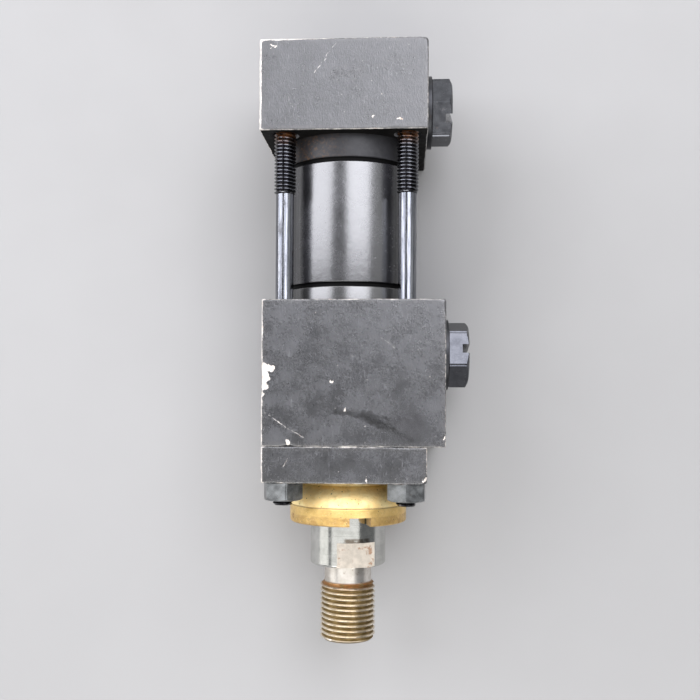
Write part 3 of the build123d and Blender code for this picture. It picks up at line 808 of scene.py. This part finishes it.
cap = block(
    "rear_cap_block",
    cap_block_low,
    cap_high,
    0.5,
    dents=[((-23.5, 130.0, 22.5), 3.5, 0.5), ((-23.5, 116.0, 22.5), 3.0, 0.4), ((22.5, 133.5, 22.5), 3.0, 0.6)],
    seed=23.0,
)
cap_room = turned(
    [
        (0, cap_front - 1),
        (19.05, cap_front - 1),
        (19.05, cap_front + 5.0),
        (13.0, cap_front + 5.0),
        (13.0, cap_back - 5.5),
        (0, cap_back - 5.5),
    ]
)
tie_centres = [(middle(f"tie_rod_{n}", 0), middle(f"tie_rod_{n}", 2)) for n in (1, 2, 3, 4)]
tapped = [
    mesh_object(
        "cutter",
        [
            turned(
                rounded(
                    [
                        (0, cap_front - 1, 0),
                        (4.6, cap_front - 1, 0),
                        (3.85, cap_front, 0.2),
                        (3.06, cap_front + 0.9, 0.2),
                        (3.06, cap_front + 15.0, 0),
                        (0, cap_front + 15.0, 0),
                    ]
                ),
                centre=centre,
                columns=64,
            )
        ],
    )
    for centre in tie_centres
]
cut(cap, mesh_object("cutter", [cap_room]), mesh_object("cutter", [port_room(cap_high[0], rear_station)]), *tapped)
add_parts(cap, [nose(cap_front + 5.0, nose_back, middle("cap_o_ring", 1))])


# Tube ------------------------------------------------------------------------


def groove(front, back, depth=0.7):
    """A turned groove with eased corners in the tube's outside."""
    radius = tube_high[0]
    return [
        (radius, front, 0.25),
        (radius - depth, front + 0.12, 0.25),
        (radius - depth, back - 0.12, 0.25),
        (radius, back, 0.25),
    ]


tube_outline = [
    (bore_radius, tube_low[1] + 0.3, 0.2),
    (bore_radius + 0.3, tube_low[1], 0.1),
    (tube_high[0] - 0.3, tube_low[1], 0.1),
    (tube_high[0], tube_low[1] + 0.3, 0.2),
    *groove(head_back + 3.9, head_back + 5.2),
    *groove(cap_front - 7.6, cap_front - 6.3),
    (tube_high[0], tube_high[1] - 0.3, 0.2),
    (tube_high[0] - 0.3, tube_high[1], 0.1),
    (bore_radius + 0.3, tube_high[1], 0.1),
    (bore_radius, tube_high[1] - 0.3, 0.2),
]
tube = mesh_object("tube_shell", [turned(rounded(tube_outline, closed=True), columns=256)])


# Gland -----------------------------------------------------------------------

gland_back = gland_high[1]
neck_radius = 13.0
throat = plate_front - 1.5
flare = [
    (
        rim_radius - (rim_radius - neck_radius) * (1 - math.cos(t)),
        RIM_LENGTH + (throat - RIM_LENGTH) * math.sin(t),
        0,
    )
    for t in np.linspace(0, 1.0, 25) * math.pi / 2
]
flare_arc = []
reach = throat - RIM_LENGTH
drop = rim_radius - neck_radius
arc_radius = (reach**2 + drop**2) / (2 * drop)
for share in np.linspace(0.0, 1.0, 29)[1:]:
    angle = share * math.asin(reach / arc_radius)
    flare_arc.append((rim_radius - arc_radius * (1 - math.cos(angle)), RIM_LENGTH + arc_radius * math.sin(angle), 0))


def seal_groove(node, depth_radius):
    """A square groove in the gland's bore behind or in front of a seal."""
    front, back = span(node, 1)
    bore = rod_radius + 0.04
    return [
        (bore, back + 0.05, 0.1),
        (depth_radius, back + 0.05, 0.1),
        (depth_radius, front - 0.05, 0.1),
        (bore, front - 0.05, 0.1),
    ]


ring_front, ring_back = span("gland_o_ring", 1)
gland_outline = [
    (rod_radius + 0.04, 0.35, 0.15),
    (rod_radius + 0.4, 0.0, 0.15),
    (rim_radius - 0.4, 0.0, 0.2),
    (rim_radius, 0.4, 0.2),
    (rim_radius, RIM_LENGTH - 0.35, 0.2),
    (rim_radius - 0.1, RIM_LENGTH, 0.15),
    *flare_arc,
    (neck_radius, plate_front + 1.0, 0.3),
    (15.0, plate_front + 3.0, 0.3),
    (15.0, ring_front - 0.6, 0.1),
    (13.6, ring_front - 0.6, 0.1),
    (13.6, ring_back + 0.6, 0.1),
    (15.0, ring_back + 0.6, 0.1),
    (15.0, gland_back - 0.6, 0.2),
    (14.4, gland_back, 0.2),
    (rod_radius + 0.04, gland_back, 0.1),
    *seal_groove("rod_seal_inner", 13.0),
    *seal_groove("rod_seal_outer", 13.0),
    *seal_groove("rod_wiper", 13.0),
]
gland = mesh_object("gland_body", [turned(rounded(gland_outline, closed=True), columns=256)])
SLOT_WIDTH, SLOT_DEPTH, SLOT_TURN = 6.0, 2.5, 15.0
cut(gland, solid_box((0, 0, 0), (SLOT_WIDTH, 2 * SLOT_DEPTH, 40.0), (0, SLOT_TURN, 0)))


# Piston rod ------------------------------------------------------------------

flats_back = shoulder + 7.2
spigot_front = span("piston", 1)[0]


def rod_outline():
    """(radius, station, flattened) rows from the thread's end to the spigot's end."""
    undercut = 6.85
    front = rounded(
        [
            (undercut, thread_back - 0.2, 0),
            (undercut, shoulder, 0.7),
            (rod_radius - 0.5, shoulder, 0.15),
            (rod_radius, shoulder + 0.5, 0.25),
            (rod_radius, flats_back - 0.06, 0),
        ]
    )
    step = np.linspace(shoulder + 0.8, flats_back - 0.06, 8)[:-1]
    body = [(r, s, True) for r, s in front[:-1]] + [(rod_radius, s, True) for s in step]
    body += [(rod_radius, flats_back - 0.05, True), (rod_radius, flats_back, False)]
    body += [(rod_radius, s, False) for s in np.linspace(flats_back + 0.05, spigot_front - 0.3, 40)]
    tail = rounded(
        [
            (rod_radius, spigot_front - 0.2, 0),
            (rod_radius, spigot_front, 0.1),
            (7.0, spigot_front, 0.1),
            (7.0, rod_high[1] - 0.5, 0.1),
            (6.5, rod_high[1], 0.1),
            (0.0, rod_high[1], 0),
        ]
    )
    return body + [(r, s, False) for r, s in tail]


def rod_body():
    """The rod's rows, with two flats milled across the front."""
    edge_angle = math.degrees(math.acos(9.5 / rod_radius))
    around = set(np.arange(0.0, 360.0, 2.0).round(3))
    for side in (0.0, 180.0):
        for corner in (side - edge_angle, side + edge_angle):
            around.update(round((corner + offset) % 360.0, 3) for offset in (-0.8, -0.35, 0.0, 0.35, 0.8))
    angles = np.radians(sorted(around))
    heading = math.radians(90.0 - FLATS_TURN)
    rows = []
    for radius, station, flattened in rod_outline():
        outward = radius * np.cos(angles)
        across = radius * np.sin(angles)
        if flattened:
            outward = np.clip(outward, -9.5, 9.5)
        x = outward * math.cos(heading) - across * math.sin(heading)
        z = outward * math.sin(heading) + across * math.cos(heading)
        rows.append(np.stack((x, np.full_like(x, station), z), axis=1))
    return skin(np.array(rows))


rod = mesh_object("rod_body", [rod_body()])
end_face = turned(
    rounded(
        [
            (0.0, tip + 2.6, 0),
            (1.6, tip + 0.6, 0.1),
            (2.3, tip, 0.15),
            (7.0, tip, 0),
        ]
    ),
    columns=128,
)
rod_thread = mesh_object(
    "rod_end_thread",
    [
        thread(tip, thread_back, 8.0, 1.5, (7.0, 6.85), columns=128, slope=1.2),
        end_face,
        turned([(6.85, thread_back), (6.85, thread_back + 0.4), (0.0, thread_back + 0.4)], columns=128),
    ],
)


# Tie rods and nuts -----------------------------------------------------------

FRONT_THREAD, REAR_THREAD = 20.0, 16.5
tie_rods, nuts = [], []
for number, centre in enumerate(tie_centres, start=1):
    name = f"tie_rod_{number}"
    front, back = span(name, 1)
    first_thread = (front, front + FRONT_THREAD)
    last_thread = (cap_front - REAR_THREAD, back)
    parts = [
        turned([(0.0, front), (2.35, front)], centre, columns=64),
        thread(*first_thread, 3.0, 1.0, (2.35, 2.5), centre, columns=64, slope=0.9),
        turned([(2.5, first_thread[1]), (2.5, last_thread[0])], centre, columns=64),
        thread(*last_thread, 3.0, 1.0, (2.5, 2.35), centre, columns=64, slope=0.9),
        turned([(2.35, back), (0.0, back)], centre, columns=64),
    ]
    tie_rods.append(mesh_object(f"{name}_steel", parts))


def nut_mesh(name, centre, turn, node):
    front, back = span(node, 1)
    side, angles = hexagon_rows(MAIN_AXIS, centre, 10.0, back, front, turn)
    face = flat_face(MAIN_AXIS, centre, angles, [(4.68, front), (3.55, front), (3.45, front + 0.05), (3.08, front + 0.45), (3.05, front + 0.8), (3.05, back)])
    ring = side[-1:]
    return mesh_object(name, [skin(side), skin(np.concatenate((side[:1], face, ring)))])


for number, (centre, turn) in enumerate(zip(tie_centres, (14.0, 35.0, 4.0, -3.0)), start=1):
    nuts.append(nut_mesh(f"tie_rod_nut_{number}_steel", centre, turn, f"tie_rod_nut_{number}"))


# Port plugs and washers --------------------------------------------------------


def plug_mesh(name, node, seal_node, slot_turn):
    """A slotted hexagon plug with its stem."""
    station = middle(seal_node, 1)
    seat = span(seal_node, 0)[1]
    top = span(node, 0)[1]
    deep = span(node, 0)[0]
    centre = (station, 0.0)
    side, angles = hexagon_rows(PORT_AXIS, centre, 17.0, seat, top, slot_turn - 30.0, rounding=0.4)
    face = flat_face(PORT_AXIS, centre, angles, [(7.9, top), (4.0, top), (0.0, top)])
    under = flat_face(PORT_AXIS, centre, angles, [(6.5, seat), (6.5, deep + 0.5), (6.0, deep), (0.0, deep)])
    plug = mesh_object(name, [skin(np.concatenate((face[::-1], side, under)))])
    slot = solid_box((top, station, 0.0), (4.0, 40.0, 2.5), (slot_turn, 0, 0))
    return cut(plug, slot)


def washer_mesh(name, node):
    inner_face, outer_face = span(node, 0)
    centre = (middle(node, 1), 0.0)
    outline = [
        (6.75, inner_face + 0.1, 0.1),
        (6.9, inner_face, 0.1),
        (10.3, inner_face, 0.15),
        (10.3, outer_face, 0.3),
        (8.4, outer_face, 0.1),
        (8.2, outer_face - 0.25, 0.1),
        (7.6, outer_face - 0.1, 0.2),
        (6.75, outer_face - 0.3, 0.2),
    ]
    return mesh_object(name, [turned(rounded(outline, closed=True), centre, PORT_AXIS, 128)])


front_plug = plug_mesh("front_port_plug_body", "front_port_plug", "front_port_seal", 80.0)
rear_plug = plug_mesh("rear_port_plug_body", "rear_port_plug", "rear_port_seal", 117.0)
front_washer = washer_mesh("front_port_washer", "front_port_seal")
rear_washer = washer_mesh("rear_port_washer", "rear_port_seal")


# Looks -------------------------------------------------------------------------

top = plate_high[2]
plate_look = worn_paint(
    "black_paint_plate",
    plate_low,
    plate_high,
    0.10,
    left_wear=0.28,
    scratches=[((-15.1, 19.4, top), (-16.3, 17.2, top), 0.17, 0.9)],
    chips=[((6.1, 13.3), (6.2, 14.4), 0.38), ((22.0, 13.3), (22.2, 14.0), 0.6)],
    smudges=[((-8.0, 18.0, top), (6.0, 17.0, top), 2.5, 0.3)],
)
head_look = worn_paint(
    "black_paint_head",
    head_low,
    head_block_high,
    0.10,
    left_wear=0.16,
    scratches=[
        ((-21.5, 31.7, top), (-17.4, 28.8, top), 0.14, 0.8),
        ((-17.4, 28.8, top), (-10.4, 24.7, top), 0.13, 0.7),
        ((10.0, 52.0, top), (14.0, 49.0, top), 0.12, 0.4),
    ],
    chips=[
        ((-22.7, 44.4), (-19.6, 43.6), 0.85),
        ((-22.4, 43.6), (-21.6, 41.0), 1.35),
        ((-22.5, 40.4), (-21.3, 38.6), 0.95),
        ((-22.5, 38.0), (-22.2, 36.2), 0.4),
        ((-15.5, 21.8), (-15.2, 24.2), 0.42),
        ((-21.8, 21.7), (-20.4, 22.0), 0.4),
        ((-3.8, 40.3), (-3.2, 40.3), 0.3),
        ((0.3, 32.5), (0.5, 32.9), 0.28),
        ((27.2, 24.6), (27.3, 25.2), 0.35),
        ((26.9, 21.6), (27.4, 21.9), 0.4),
    ],
    smudges=[
        ((-2.1, 32.0, top), (5.0, 30.8, top), 1.0, 0.8),
        ((5.0, 30.8, top), (13.3, 27.2, top), 1.4, 1.0),
        ((13.3, 27.2, top), (18.0, 24.5, top), 1.7, 0.7),
        ((5.0, 31.9, top), (12.0, 30.0, top), 0.6, 0.7),
    ],
    # Painted shade: the head darker towards its front right, with two fainter darker patches.
    shade_clouds=[((17.0, 27.5, top), 9.0, 0.4), ((1.8, 26.0, top), 6.0, 0.25), ((-12.0, 52.0, top), 6.0, 0.1)],
    dullness=0.03,
)
cap_look = worn_paint(
    "black_paint_cap",
    cap_block_low,
    cap_high,
    0.13,
    left_wear=0.40,
    top_left=0.30,
    scratches=[
        ((-2.5, 132.1, top), (-5.4, 128.4, top), 0.12, 0.75),
        ((-5.4, 128.0, top), (-8.5, 124.2, top), 0.14, 0.9),
        ((-16.0, 118.5, top), (-14.2, 114.6, top), 0.10, 0.4),
    ],
    chips=[((-20.2, 131.4), (-18.4, 131.6), 0.25), ((7.6, 112.0), (7.8, 112.2), 0.32), ((14.4, 111.2), (15.0, 111.1), 0.35)],
    smudges=[((-3.0, 123.5, top), (3.6, 123.7, top), 1.7, 0.75)],
    # Painted shade: a faint darker patch near the cap's left side.
    shade_clouds=[((-14.0, 118.0, top), 6.0, 0.12)],
    dullness=0.09,
)
# Painted shade: near-black paint that barely reflects, for the cap's and the head's faces towards the tube.
shaded_face_look = soft_part("black_paint_painted_shade", (0.002, 0.002, 0.002), (0.007, 0.0065, 0.006), 0.5, 0.7, gloss=0.07)
# Copies of the tube paint that reflect less and less, used to paint shade onto the tube.
TUBE_SHADE_GLOSS = [1.0, 0.7, 0.45, 0.28, 0.16, 0.03]
tube_shade_looks = [
    gloss_paint("gloss_black_paint" + ("" if level == 0 else f"_{level}"), tube_low, tube_high, gloss)
    for level, gloss in enumerate(TUBE_SHADE_GLOSS)
]
gland_look = bronze(RIM_LENGTH, rim_radius)
rod_look = chrome_rod(shoulder, thread_back, flats_back, FLATS_TURN, tip)
tie_look = drawn_steel("tie_rod_steel", tie_centres, cap_front, 4.0)
nut_look = machined_steel("nut_steel", (0.15, 0.156, 0.158), (0.27, 0.28, 0.28), 0.30, 0.46, rust=0.35)
plug_look = machined_steel("plug_black", (0.055, 0.057, 0.064), (0.092, 0.095, 0.105), 0.16, 0.26, rust=0.1)
washer_look = machined_steel("bonded_washer", (0.03, 0.031, 0.034), (0.06, 0.061, 0.065), 0.35, 0.5, rust=0.3)

PIECES = [
    (plate, "housing", ["retainer_plate"], "black_paint", plate_look, 40.0),
    (head, "housing", ["head"], "black_paint", head_look, 40.0),
    (cap, "housing", ["rear_cap"], "black_paint", cap_look, 40.0),
    (tube, "housing", ["tube"], "gloss_black_paint", tube_shade_looks[0], 50.0),
    (gland, "housing", ["gland"], "bronze", gland_look, 40.0),
    (rod, "rod", ["piston_rod"], "hard_chrome", rod_look, 20.0),
    (rod_thread, "rod", ["piston_rod"], "hard_chrome", rod_look, 50.0),
    (front_plug, "housing", ["front_port_plug"], "plug_black", plug_look, 28.0),
    (rear_plug, "housing", ["rear_port_plug"], "plug_black", plug_look, 28.0),
    (front_washer, "housing", ["front_port_seal"], "bonded_washer", washer_look, 50.0),
    (rear_washer, "housing", ["rear_port_seal"], "bonded_washer", washer_look, 50.0),
]
for number in (1, 2, 3, 4):
    PIECES.append((tie_rods[number - 1], "housing", [f"tie_rod_{number}"], "tie_rod_steel", tie_look, 50.0))
    PIECES.append((nuts[number - 1], "housing", [f"tie_rod_nut_{number}"], "nut_steel", nut_look, 28.0))

for piece, body, nodes, slot_name, look, angle in PIECES:
    piece.data.materials.clear()
    piece.data.materials.append(look)
    finished(piece, angle)
    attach(piece, body)
    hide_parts(*nodes)

# The cap's and head's faces towards the tube take the painted-shade paint.
cap.data.materials.append(shaded_face_look)
head.data.materials.append(shaded_face_look)
for piece, station, facing in ((cap, cap_front, -1), (head, head_back, 1)):
    for face in piece.data.polygons:
        if abs(face.center.y - station * MM) < 0.25 * MM and face.normal.y * facing > 0.9:
            face.material_index = 1
# Painted shade: faces more than 45 degrees round from the top step down to duller copies, faces next to the cap take
# level 4, and the grooves, ends and bore take the dullest.
for look in tube_shade_looks[1:]:
    tube.data.materials.append(look)
for face in tube.data.polygons:
    beside = math.degrees(abs(math.atan2(face.center.x, face.center.z)))
    level = min(4, max(0, math.ceil((beside - 45.0) / 4.0)))
    if math.hypot(face.center.x, face.center.z) < (tube_high[0] - 0.3) * MM:
        level = 5
    elif face.center.y > (cap_front - 7.7) * MM:
        level = 4
    face.material_index = level

INNER_LOOKS = {
    "piston_iron": soft_part("piston_iron", (0.20, 0.20, 0.21), (0.36, 0.36, 0.37), 0.32, 0.5, 1.0, (1.0, 6.0, 1.0)),
    "lock_nut_steel": soft_part("lock_nut_steel", (0.26, 0.26, 0.27), (0.42, 0.42, 0.43), 0.3, 0.45, 1.0, (1.0, 3.0, 1.0)),
    "seal_rubber": soft_part("seal_rubber", (0.012, 0.012, 0.012), (0.03, 0.03, 0.03), 0.5, 0.68),
    "seal_plastic": soft_part("seal_plastic", (0.07, 0.13, 0.22), (0.12, 0.20, 0.32), 0.42, 0.58),
    "wear_ring_plastic": soft_part("wear_ring_plastic", (0.20, 0.12, 0.05), (0.34, 0.22, 0.10), 0.5, 0.66, 0.0, (3.0, 0.6, 3.0)),
    "wiper_plastic": soft_part("wiper_plastic", (0.06, 0.04, 0.02), (0.13, 0.09, 0.045), 0.5, 0.66),
}
replaced = {node for piece in PIECES for node in piece[2]}
slots = {part["node"]: part["material_slot"] for part in frame["record"]["subparts"]}
for node, obj in frame["nodes"].items():
    if node not in replaced:
        obj.data.materials.clear()
        obj.data.materials.append(INNER_LOOKS[slots[node]])


# Floor, light and camera -------------------------------------------------------


def soft_floor():
    mesh = bpy.data.meshes.new("floor")
    half, level = 2.5, cad_low[2]
    mesh.from_pydata([(-half, -half, level), (half, -half, level), (half, half, level), (-half, half, level)], [], [(0, 1, 2, 3)])
    floor = bpy.data.objects.new("floor", mesh)
    bpy.context.scene.collection.objects.link(floor)
    g = Graph("floor")
    tone = g.noise(0.004, 3.0, 0.5)
    color = g.mix(g.step(tone, 0.3, 0.7), rgb(0.285, 0.282, 0.278), rgb(0.305, 0.302, 0.298))
    mesh.materials.append(g.look(color, g.step(g.noise(0.05, 3.0, 0.5), 0.3, 0.7, 0.78, 0.88)))


def soft_light(name, azimuth, lean, distance, width, length, radiance, tone):
    """A large soft panel that faces the object, leaning from straight up towards +X and then +Y by degrees."""
    data = bpy.data.lights.new(name, "AREA")
    data.shape = "RECTANGLE"
    data.size, data.size_y = width, length
    data.energy = radiance * width * length * math.pi
    data.color = tone
    light = bpy.data.objects.new(name, data)
    bpy.context.scene.collection.objects.link(light)
    a, b = math.radians(azimuth), math.radians(lean)
    way = Vector((math.sin(a) * math.cos(b), math.sin(b), math.cos(a) * math.cos(b)))
    length_way = (Vector((0, 1, 0)) - way * way.y).normalized()
    width_way = length_way.cross(way)
    light.location = Vector((0.0, 0.045, 0.0)) + way * distance
    light.rotation_euler = Matrix((width_way, length_way, way)).transposed().to_euler()
    light.visible_camera = False


soft_floor()
soft_light("panel_left", -54.0, 29.0, 0.95, 0.95, 0.82, 5.2, (0.93, 0.935, 1.0))
soft_light("panel_right", 19.0, 30.0, 0.95, 0.70, 0.85, 5.9, (0.93, 0.935, 1.0))
soft_light("panel_far_right", 62.0, 24.0, 0.95, 0.6, 0.9, 0.7, (0.98, 0.99, 1.0))
soft_light("panel_side", -76.0, -14.0, 0.95, 0.6, 0.35, 1.3, (1.0, 0.99, 0.97))
soft_light("panel_front", -5.0, -21.0, 0.95, 1.7, 0.5, 1.2, (1.0, 0.99, 0.98))
soft_light("panel_low", -8.0, -52.0, 0.95, 1.2, 0.36, 5.5, (1.0, 0.99, 0.98))
soft_light("panel_back", 0.0, 72.0, 0.95, 1.4, 0.5, 1.6, (0.99, 0.995, 1.0))

world = bpy.context.scene.world or bpy.data.worlds.new("world")
bpy.context.scene.world = world
world.use_nodes = True
world.node_tree.nodes["Background"].inputs["Color"].default_value = rgb(0.55, 0.56, 0.58)
world.node_tree.nodes["Background"].inputs["Strength"].default_value = 0.35

camera_data = bpy.data.cameras.new("camera")
camera = bpy.data.objects.new("camera", camera_data)
bpy.context.scene.collection.objects.link(camera)
bpy.context.scene.camera = camera
gland_front = Vector((0.0, cad_low[1] + (gland_low[1] - rod_low[1]) * MM, 0.0))
camera.location = gland_front + Vector((0.015919, 0.035128, 0.262372))
camera.rotation_euler = (0.0139, 0.0592, 0.0052)
camera_data.sensor_width = 36.0
camera_data.lens = 45.837
camera_data.shift_y = 0.0543
camera_data.clip_start, camera_data.clip_end = 0.01, 20.0
bpy.context.scene.view_settings.view_transform = "Standard"
bpy.context.scene.view_settings.look = "None"
